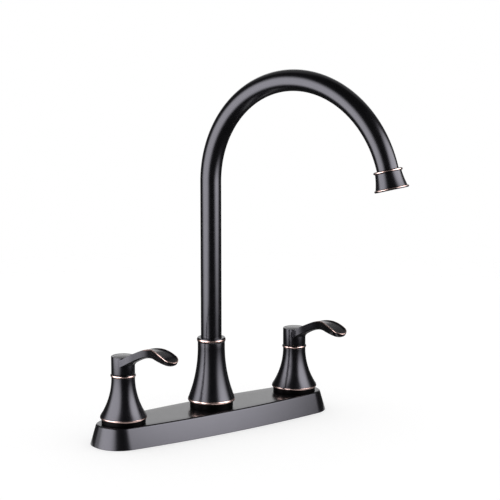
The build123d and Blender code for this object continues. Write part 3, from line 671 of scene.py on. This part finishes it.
def lever_grid(x, toe_in, rim, dish):
    """Lever's surface over reach and a turn round its section.

    In plan the half width follows the stations and, past the tip's start, an ellipse to the tip. The upper
    face is a dish: it falls from a rim of even width by the dish's depth, as a smooth step of the distance
    to the plan's edge. Below, a side that leans in as a power of its depth leads to the keel, a parabola
    across the section.
    """
    length = LEVER[-1, 0]
    turn = np.linspace(0, pi / 2, 90)
    reach = np.concatenate((np.linspace(0, TIP_START, 120)[:-1],
                            TIP_START + (length - TIP_START) * np.sin(turn)))
    top, under, half, belly = (smooth(LEVER[:, 0], LEVER[:, i], reach) for i in range(1, 5))
    past = np.clip((reach - TIP_START) / (length - TIP_START), 0, 1)
    half = half * np.sqrt(np.maximum(1 - past ** 2, 0))
    # Near the hub there is no dish, almost no round edge and nothing rubbed; all three grow along the lever.
    hollow = dish * np.interp(reach, (12, 30, 52, length), (0.0, 0.25, 1.0, 1.0))
    crown = LEVER_ROUND * np.interp(reach, (0, 20), (0.2, 1.0))
    wear = np.interp(reach, (32, 44), (0.0, 1.0))

    # Upper face: 57 places across, closer together towards the plan's edge.
    v = half[:, None] * np.sin(np.linspace(-pi / 2, pi / 2, 57))
    plan = np.concatenate((np.column_stack((reach, half)), np.column_stack((reach, -half))[::-1]))
    spot = np.stack((np.repeat(reach[:, None], v.shape[1], 1), v), -1)
    distance = np.sqrt(((spot[:, :, None] - plan) ** 2).sum(-1)).min(-1)
    fall = ease((distance - 0.75 * rim) / (2.2 * rim))
    lip = np.clip(distance / (0.4 * rim), 0, 1)
    z = top[:, None] - hollow[:, None] * fall - crown[:, None] * (1 - np.sqrt(1 - (1 - lip) ** 2))
    rubbed = wear[:, None] * ease(1.5 - distance / (0.6 * rim))

    # Sides, down to the keel's height, and the keel between them.
    t = np.linspace(0, 1, 8)[None, 1:]
    edge, foot = (top - crown)[:, None], (under + KEEL_SHARE * (top - under))[:, None]
    side_v = half[:, None] * (1 + (belly[:, None] - 1) * t ** 1.35)
    side_z = edge + (foot - edge) * t
    keel = np.linspace(1, -1, 19)[None, 1:]
    keel_v = (belly * half)[:, None] * keel
    keel_z = under[:, None] + (foot - under[:, None]) * keel ** 2
    loop_v = np.hstack((v, side_v, keel_v, -side_v[:, ::-1][:, 1:]))
    loop_z = np.hstack((z, side_z, keel_z, side_z[:, ::-1][:, 1:]))
    rubbed = np.hstack((rubbed, np.zeros((len(reach), loop_v.shape[1] - v.shape[1]))))
    grid = np.stack((x + reach[:, None] * sin(toe_in) - loop_v * cos(toe_in),
                     -reach[:, None] * cos(toe_in) - loop_v * sin(toe_in), loop_z), -1)
    pole = np.broadcast_to(grid[:1].mean(1, keepdims=True), grid[:1].shape)
    return np.vstack((pole, grid)), np.vstack((rubbed[:1], rubbed)), False


class FAUCET_OT_levers(bpy.types.Operator):
    """Lever handles, each a hub and an S-shaped lever with a dished paddle, and their plain caps"""
    bl_idname = "faucet.levers"
    bl_label = "Lever Handles"

    def execute(self, context):
        sizes = context.scene.faucet_sizes
        finish = finishes()["satin_bronze"]
        radius, skirt, cap_radius, pocket, screw, spline = 10.95, 8.95, 8.6, 4.2, 2.05, 4.05
        cap_seat, web_top, web_foot = HUB_TOP - 1.6, HUB_TOP - 4.6, HUB_TOP - 6.5
        hub = outline(
            (skirt, HUB_FOOT, 0.2), (radius, HUB_FOOT, 0.3), (radius, HUB_TOP, 0.7),
            (cap_radius + 0.05, HUB_TOP, 0.25), (cap_radius + 0.05, cap_seat), (pocket, cap_seat),
            (pocket, web_top), (screw, web_top), (screw, web_foot), (spline, web_foot),
            (spline, HUB_FOOT + 3), (skirt, HUB_FOOT + 3))
        cap = outline((0, cap_seat), (cap_radius, cap_seat), (cap_radius, HUB_TOP - 0.05, 0.4),
                      arc((8.3, HUB_TOP + 0.03), (4.2, HUB_TOP + 0.38), (0, HUB_TOP + 0.5), 12))
        for side, x in SIDES.items():
            patches = [carried(hub, straight(x), sizes.circle_steps),
                       lever_grid(x, -TOE_IN * np.sign(x), sizes.rim_width / MM, sizes.dish_depth / MM)]
            handle = skin(side + "_lever_handle_finished", patches)
            fit(handle, side + "_lever_handle", finish)
            turned(side + "_hub_cap", finish, cap, straight(x))
        return {"FINISHED"}


# ---- spout -------------------------------------------------------------------
class FAUCET_OT_spout(bpy.types.Operator):
    """Swan-neck tube, its belled outlet with two rings, and the aerator's shell"""
    bl_idname = "faucet.spout"
    bl_label = "Spout"

    def execute(self, context):
        finish = finishes()["satin_bronze"]
        leg = ARCH_FOOT - TUBE_FOOT
        bend = leg + ARCH_RADIUS * ARCH_SWEEP
        stations = np.concatenate((
            np.linspace(TUBE_SHORT, leg, 24)[:-1], np.linspace(leg, bend + TUBE_TAIL - TUBE_SHORT, 150)))
        outer = np.column_stack((np.full(len(stations), TUBE_RADIUS), stations, 0 * stations))
        inner = outer[::-1] * (TUBE_BORE / TUBE_RADIUS, 1, 1)
        tube = skin("spout_tube_finished", [carried(np.vstack((outer, inner)), spout_path, 96)])
        fit(tube, "spout_tube", finish)

        # The outlet and the aerator are turned about the tail. Their heights run down from the arch's end.
        origin, _, _ = (value[0] for value in spout_path(np.array([bend])))
        flow = np.sin(pi - ARCH_SWEEP) * FORWARD - np.cos(pi - ARCH_SWEEP) * UP
        axis = straight(origin=origin, along=flow)
        mouth, stop, bore, socket = 17, TUBE_TAIL, 11.65, TUBE_RADIUS + 0.05
        bell = outline(
            (14.6, mouth, 0.3), (bore, mouth, 0.2), (bore, stop + 0.2), (TUBE_BORE, stop + 0.2),
            (TUBE_BORE, stop), (socket, stop), (socket, -1.2), (11.9, -1.2, 0.1),
            arc((12.0, -1.1), (13.2, -0.1), (12.0, 1.1), 31, 0.3), (11.9, 1.25),
            arc((11.9, 1.5), (12.75, 7.8), (14.3, 14.6), 20),
            arc((14.35, 14.8), (15.5, 15.5), (14.75, mouth - 0.05), 41, 0.3))
        turned("outlet_bell", finish, bell, axis)
        shell = outline(
            (9.4, 9.2), (11.6, 9.2), (11.6, 16.6, 0.3), (8.6, 16.6, 0.25), (8.6, 15.6, 0.2), (9.4, 15.6))
        turned("aerator_shell", finish, shell, axis)
        return {"FINISHED"}


# ---- below the deck ----------------------------------------------------------
class FAUCET_OT_valve_bodies(bpy.types.Operator):
    """Brass valve bodies with the pipe thread cut on their shanks"""
    bl_idname = "faucet.valve_bodies"
    bl_label = "Valve Bodies"

    def execute(self, context):
        sizes = context.scene.faucet_sizes
        pitch, depth = sizes.thread_pitch / MM, sizes.thread_depth / MM
        shank_radius, shank_foot, bore, body, chamber, nozzle = 10.45, -55, 6.2, 14, 9.25, 4.6
        height = np.arange(shank_foot + 1.0, 1.0, pitch / 10)
        shank = np.column_stack((np.full(len(height), shank_radius), height, 0 * height, 0 * height))
        groove = (height > -25) & (height < -23.5)
        shank[groove, 0] = 9.85
        profile = outline(
            (bore, 4), (bore, shank_foot, 0.3), (9.4, shank_foot, 0.2), shank, (shank_radius, 2),
            (body, 2, 0.4), (body, PLATE_CEILING, 0.4), (10.95, PLATE_CEILING), (10.95, 46, 0.3),
            (chamber, 46, 0.2), (chamber, 4), (bore, 4), (bore, 22, 0.2), (nozzle, 22, 0.2), (nozzle, 2.01),
            (bore, 2.0))
        # The thread runs out at the shank's foot, at both sides of the groove and below the body.
        ends = (-54.2, -52.5, -26.5, -25.2, -23.3, -22.0, -1.5, 0.5)
        cut = depth * np.interp(profile[:, 1], ends, (0, 1, 1, 0, 0, 1, 1, 0))
        cut *= (profile[:, 0] > 9) & (profile[:, 0] < 10.5)
        for side, x in SIDES.items():
            grid = carried(profile, straight(x), 96, (cut, pitch))
            body = skin(side + "_valve_body_finished", [grid])
            fit(body, side + "_valve_body", finishes()["brass"])
        return {"FINISHED"}


class FAUCET_OT_mounting_nuts(bpy.types.Operator):
    """Moulded wing nuts that clamp the shanks under the sink"""
    bl_idname = "faucet.mounting_nuts"
    bl_label = "Mounting Nuts"

    def execute(self, context):
        top = span("mounting_nuts")[1]
        angle = np.linspace(0, 2 * pi, 288, endpoint=False)[None, :]
        flange, barrel, wing_tip, half_wing, bore = 17.0, 15.0, 23.0, 2.0, 10.5
        # Height below the top, inset of the section, and how much of the wings shows at that height.
        line = np.array((
            (0, 0.4, 0), (0.12, 0.12, 0), (0.4, 0, 0), (1.7, 0, 0), (1.9, 0.1, 0.0), (2.0, 0.3, 0.3),
            (2.02, 0.3, 1), (2.2, 0, 1), (10.0, 0, 1), (10.6, 0.25, 1), (10.9, 0.6, 1), (11, 1.2, 1)))
        drop, inset, wings = (column[:, None] for column in line.T)
        # A wing is a bar: its side lies where the sine of the angle off its middle gives half its thickness,
        # and its tip is crowned. The fillet to the barrel is a log of summed exponentials.
        off = (angle + pi / 4) % (pi / 2) - pi / 4
        wing = np.minimum(wing_tip - 0.4 * (off * wing_tip / 2) ** 2,
                          half_wing / np.maximum(np.abs(np.sin(off)), 0.05))
        body = np.where(drop < 2, flange, barrel + 0 * angle)
        winged = np.log(np.exp(body * 2) + np.exp(wing * 2)) / 2
        radius = np.where(wings > 0.5, np.maximum(winged - 0.05, barrel), body) - inset
        radius = np.vstack((radius, np.full((2, radius.shape[1]), bore)))
        drop = np.vstack((drop, drop[-1:], drop[:1]))
        patches = []
        for x in SIDES.values():
            grid = np.stack((x + radius * np.cos(angle), radius * np.sin(angle),
                             np.repeat(top - drop, radius.shape[1], 1)), -1)
            patches.append((grid, 0.0, True))
        nuts = skin("mounting_nuts_finished", patches)
        fit(nuts, "mounting_nuts", finishes()["black_plastic"])
        return {"FINISHED"}


class FAUCET_OT_inner_parts(bpy.types.Operator):
    """Finishes for the pieces that keep their machined shape: cartridges, seals, tubes and screws"""
    bl_idname = "faucet.inner_parts"
    bl_label = "Inner Parts"

    def execute(self, context):
        finish = finishes()
        for name, piece in frame["nodes"].items():
            piece.data.materials.clear()
            piece.data.materials.append(finish[NODE_SLOT[name]])
        return {"FINISHED"}


# ---- studio ------------------------------------------------------------------
CAMERA_PLACE = (-1.164934, -1.547328, 0.509818)
CAMERA_AIM = Vector((0.60722, 0.77551, -0.17285))
TOWARDS_CAMERA = Vector((-0.6165, -0.7874, 0.0)).normalized()
CAMERA_RIGHT = Vector((0.7874, -0.6165, 0.0)).normalized()
PANEL_DISTANCE = 0.55  # metres, from the spout's axis
FLOOR_DROP = 0.1  # millimetres that the floor lies below the deck plate's foot
MATT_LEVEL, ROOM_LEVEL = 0.9, 0.04  # what the surroundings give to matt surfaces, and to metal


def back_glow(tree, off, elevation, side, low, high, light):
    """Glow behind the faucet: its light times a smooth step at its sides, its foot and its top.

    All angles are in degrees. Off is the angle from the camera's side, alike to the left and right, so the
    glow runs round the back from one side to the other. Sides fade over 24 degrees, foot and top over 16.
    """
    glow = light
    for value, start, end in ((off, side - 12, side + 12), (elevation, low - 8, low + 8),
                              (elevation, high + 8, high - 8)):
        glow = maths(tree, "MULTIPLY", glow, smooth_step(tree, value, start, end))
    return glow


def studio_world(light):
    """White to the camera, and an even pale light to all that is matt. Metal sees a dark room with two glows.

    One is the white backdrop, narrow and low behind the faucet. The other is dimmer, and stands above it.
    """
    world = bpy.data.worlds.new("studio")
    bpy.context.scene.world = world
    world.use_nodes = True
    tree = world.node_tree
    tree.nodes.clear()
    rays = node(tree, "ShaderNodeLightPath").outputs
    direction = node(tree, "ShaderNodeTexCoord").outputs["Generated"]
    ahead, across, up = (vectors(tree, "DOT_PRODUCT", direction, axis)
                         for axis in (TOWARDS_CAMERA, CAMERA_RIGHT, (0, 0, 1)))
    bearing = maths(tree, "DEGREES", maths(tree, "ARCTAN2", across, ahead))
    off = maths(tree, "ABSOLUTE", bearing)
    elevation = maths(tree, "DEGREES", maths(tree, "ARCSINE", up))
    above = back_glow(tree, off, elevation, 128, 28, 65, 0.06 * light)
    backdrop = back_glow(tree, off, elevation, 158, -2, 24, 0.22 * light)
    room = maths(tree, "ADD", maths(tree, "ADD", ROOM_LEVEL, above), backdrop)
    soft = node(tree, "ShaderNodeMix", [(0, rays["Is Glossy Ray"]), (2, MATT_LEVEL), (3, room)]).outputs[0]
    seen = maths(tree, "MAXIMUM", rays["Is Camera Ray"], rays["Is Transmission Ray"])
    level = node(tree, "ShaderNodeMix", [(0, seen), (2, soft), (3, 1.0)]).outputs[0]
    background = node(tree, "ShaderNodeBackground", [("Color", (1, 1, 1, 1)), ("Strength", level)])
    node(tree, "ShaderNodeOutputWorld", [("Surface", background.outputs[0])])


def soft_panel(name, bearing, height, wide, high, light):
    """Soft panel beside the faucet, which matt surfaces don't meet: brightest in its middle.

    Its bearing runs from the camera's side to its right, in degrees. Its light falls as a smooth step of the
    distance from the middle, over an ellipse as wide and high as the panel.
    """
    lamp = bpy.data.lights.new(name, "AREA")
    lamp.shape = "RECTANGLE"
    lamp.size, lamp.size_y = wide, high
    lamp.energy = light * pi * wide * high
    lamp.use_nodes = True
    tree = lamp.node_tree
    tree.nodes.clear()
    # Across the panel and up it, the parametric place runs from 0 to 1.
    place = node(tree, "ShaderNodeNewGeometry").outputs["Parametric"]
    reach = vectors(tree, "LENGTH", vectors(tree, "SUBTRACT", place, (0.5, 0.5, 0.0)))
    glow = node(tree, "ShaderNodeEmission", [("Strength", smooth_step(tree, reach, 0.5, 0.15))])
    node(tree, "ShaderNodeOutputLight", [("Surface", glow.outputs[0])])
    panel = bpy.data.objects.new(name, lamp)
    outward = cos(radians(bearing)) * TOWARDS_CAMERA + sin(radians(bearing)) * CAMERA_RIGHT
    panel.location = outward * PANEL_DISTANCE + Vector((0, 0, height))
    panel.rotation_euler = outward.to_track_quat("Z", "Y").to_euler()
    panel.visible_camera = False
    panel.visible_diffuse = False
    bpy.context.scene.collection.objects.link(panel)


def floor_finish(radius):
    """Matt white laminate for the sink's deck: it keeps soft shadows and fades out at its edge.

    To the camera and to glossy and transmission rays, a little glow lifts it to white where no shadow falls.
    All but the camera meet a smaller, oval floor, because a large one would brighten the metal from below.
    """
    made = bpy.data.materials.new("matt_white_laminate")
    made.use_nodes = True
    tree = made.node_tree
    tree.nodes.clear()
    rays = node(tree, "ShaderNodeLightPath").outputs
    place = node(tree, "ShaderNodeTexCoord").outputs["Object"]
    # The oval ends 0.18 m from the middle along the deck plate, and 0.08 m across it.
    oval = vectors(tree, "MULTIPLY", place, (5.5, 12.0, 0.0))
    far = vectors(tree, "MULTIPLY", place, (1 / radius, 1 / radius, 0.0))
    links = [(0, rays["Is Camera Ray"]), (4, oval), (5, far)]
    reach = vectors(tree, "LENGTH", node(tree, "ShaderNodeMix", links, data_type="VECTOR").outputs[1])
    matt = node(tree, "ShaderNodeBsdfDiffuse", [("Color", linear("#c8c8c8"))])
    glow = node(tree, "ShaderNodeEmission", [("Color", (1, 1, 1, 1)), ("Strength", 0.5)])
    lifted = node(tree, "ShaderNodeAddShader", [(0, matt.outputs[0]), (1, glow.outputs[0])])
    seen = maths(tree, "MAXIMUM", rays["Is Camera Ray"], rays["Is Glossy Ray"])
    seen = maths(tree, "MAXIMUM", seen, rays["Is Transmission Ray"])
    mixed = node(tree, "ShaderNodeMixShader", [(0, seen), (1, matt.outputs[0]), (2, lifted.outputs[0])])
    clear = node(tree, "ShaderNodeBsdfTransparent")
    fade = spread(tree, reach, 0.0, 1.0, 0.65, 1.0)
    faded = node(tree, "ShaderNodeMixShader", [(0, fade), (1, mixed.outputs[0]), (2, clear.outputs[0])])
    node(tree, "ShaderNodeOutputMaterial", [("Surface", faded.outputs[0])])
    return made


class FAUCET_OT_studio(bpy.types.Operator):
    """Pale floor, soft panels, surroundings and the camera"""
    bl_idname = "faucet.studio"
    bl_label = "Studio"

    def execute(self, context):
        settings = context.scene.faucet_studio
        radius = settings.floor_radius
        turn = np.linspace(0, 2 * pi, 128, endpoint=False)[None, :]
        ring = np.linspace(0, 1, 12)[:, None] * radius / MM
        grid = np.stack((ring * np.cos(turn), ring * np.sin(turn), 0 * ring * turn - FLOOR_DROP), -1)
        floor = skin("floor", [(grid, 0.0, False)])
        floor.data.materials.append(floor_finish(radius))

        light = settings.box_light
        studio_world(light)
        soft_panel("left_panel", bearing=-60, height=0.26, wide=1.22, high=1.2, light=1.1 * light)
        soft_panel("right_panel", bearing=70, height=0.33, wide=0.90, high=0.88, light=1.3 * light)

        camera = bpy.data.cameras.new("camera")
        camera.lens, camera.sensor_width = settings.lens, 36.0
        camera.clip_start, camera.clip_end = 0.05, 20.0
        view = bpy.data.objects.new("camera", camera)
        view.location = CAMERA_PLACE
        view.rotation_euler = CAMERA_AIM.to_track_quat("-Z", "Y").to_euler()
        context.scene.collection.objects.link(view)
        context.scene.camera = view
        context.scene.view_settings.view_transform = "Standard"
        return {"FINISHED"}


OPERATORS = (
    FAUCET_OT_deck_plate, FAUCET_OT_bells, FAUCET_OT_levers, FAUCET_OT_spout, FAUCET_OT_valve_bodies,
    FAUCET_OT_mounting_nuts, FAUCET_OT_inner_parts, FAUCET_OT_studio,
)


class FAUCET_PT_panel(bpy.types.Panel):
    """Lists the faucet's pieces and its settings"""
    bl_idname = "FAUCET_PT_panel"
    bl_label = "Faucet"
    bl_space_type = "VIEW_3D"
    bl_region_type = "UI"
    bl_category = "Faucet"

    def draw(self, context):
        scene = context.scene
        for group in (scene.faucet_sizes, scene.faucet_colours, scene.faucet_studio):
            for name in group.__annotations__:
                self.layout.prop(group, name)
        for operator in OPERATORS:
            self.layout.operator(operator.bl_idname)


CLASSES = (FaucetSizes, FaucetColours, FaucetStudio, *OPERATORS, FAUCET_PT_panel)


def register():
    for kind in CLASSES:
        bpy.utils.register_class(kind)
    bpy.types.Scene.faucet_sizes = PointerProperty(type=FaucetSizes)
    bpy.types.Scene.faucet_colours = PointerProperty(type=FaucetColours)
    bpy.types.Scene.faucet_studio = PointerProperty(type=FaucetStudio)


def unregister():
    del bpy.types.Scene.faucet_studio
    del bpy.types.Scene.faucet_colours
    del bpy.types.Scene.faucet_sizes
    for kind in reversed(CLASSES):
        bpy.utils.unregister_class(kind)


def main():
    register()
    bpy.ops.faucet.deck_plate()
    bpy.ops.faucet.bells()
    bpy.ops.faucet.levers()
    bpy.ops.faucet.spout()
    bpy.ops.faucet.valve_bodies()
    bpy.ops.faucet.mounting_nuts()
    bpy.ops.faucet.inner_parts()
    bpy.ops.faucet.studio()


if __name__ == "__main__":
    main()
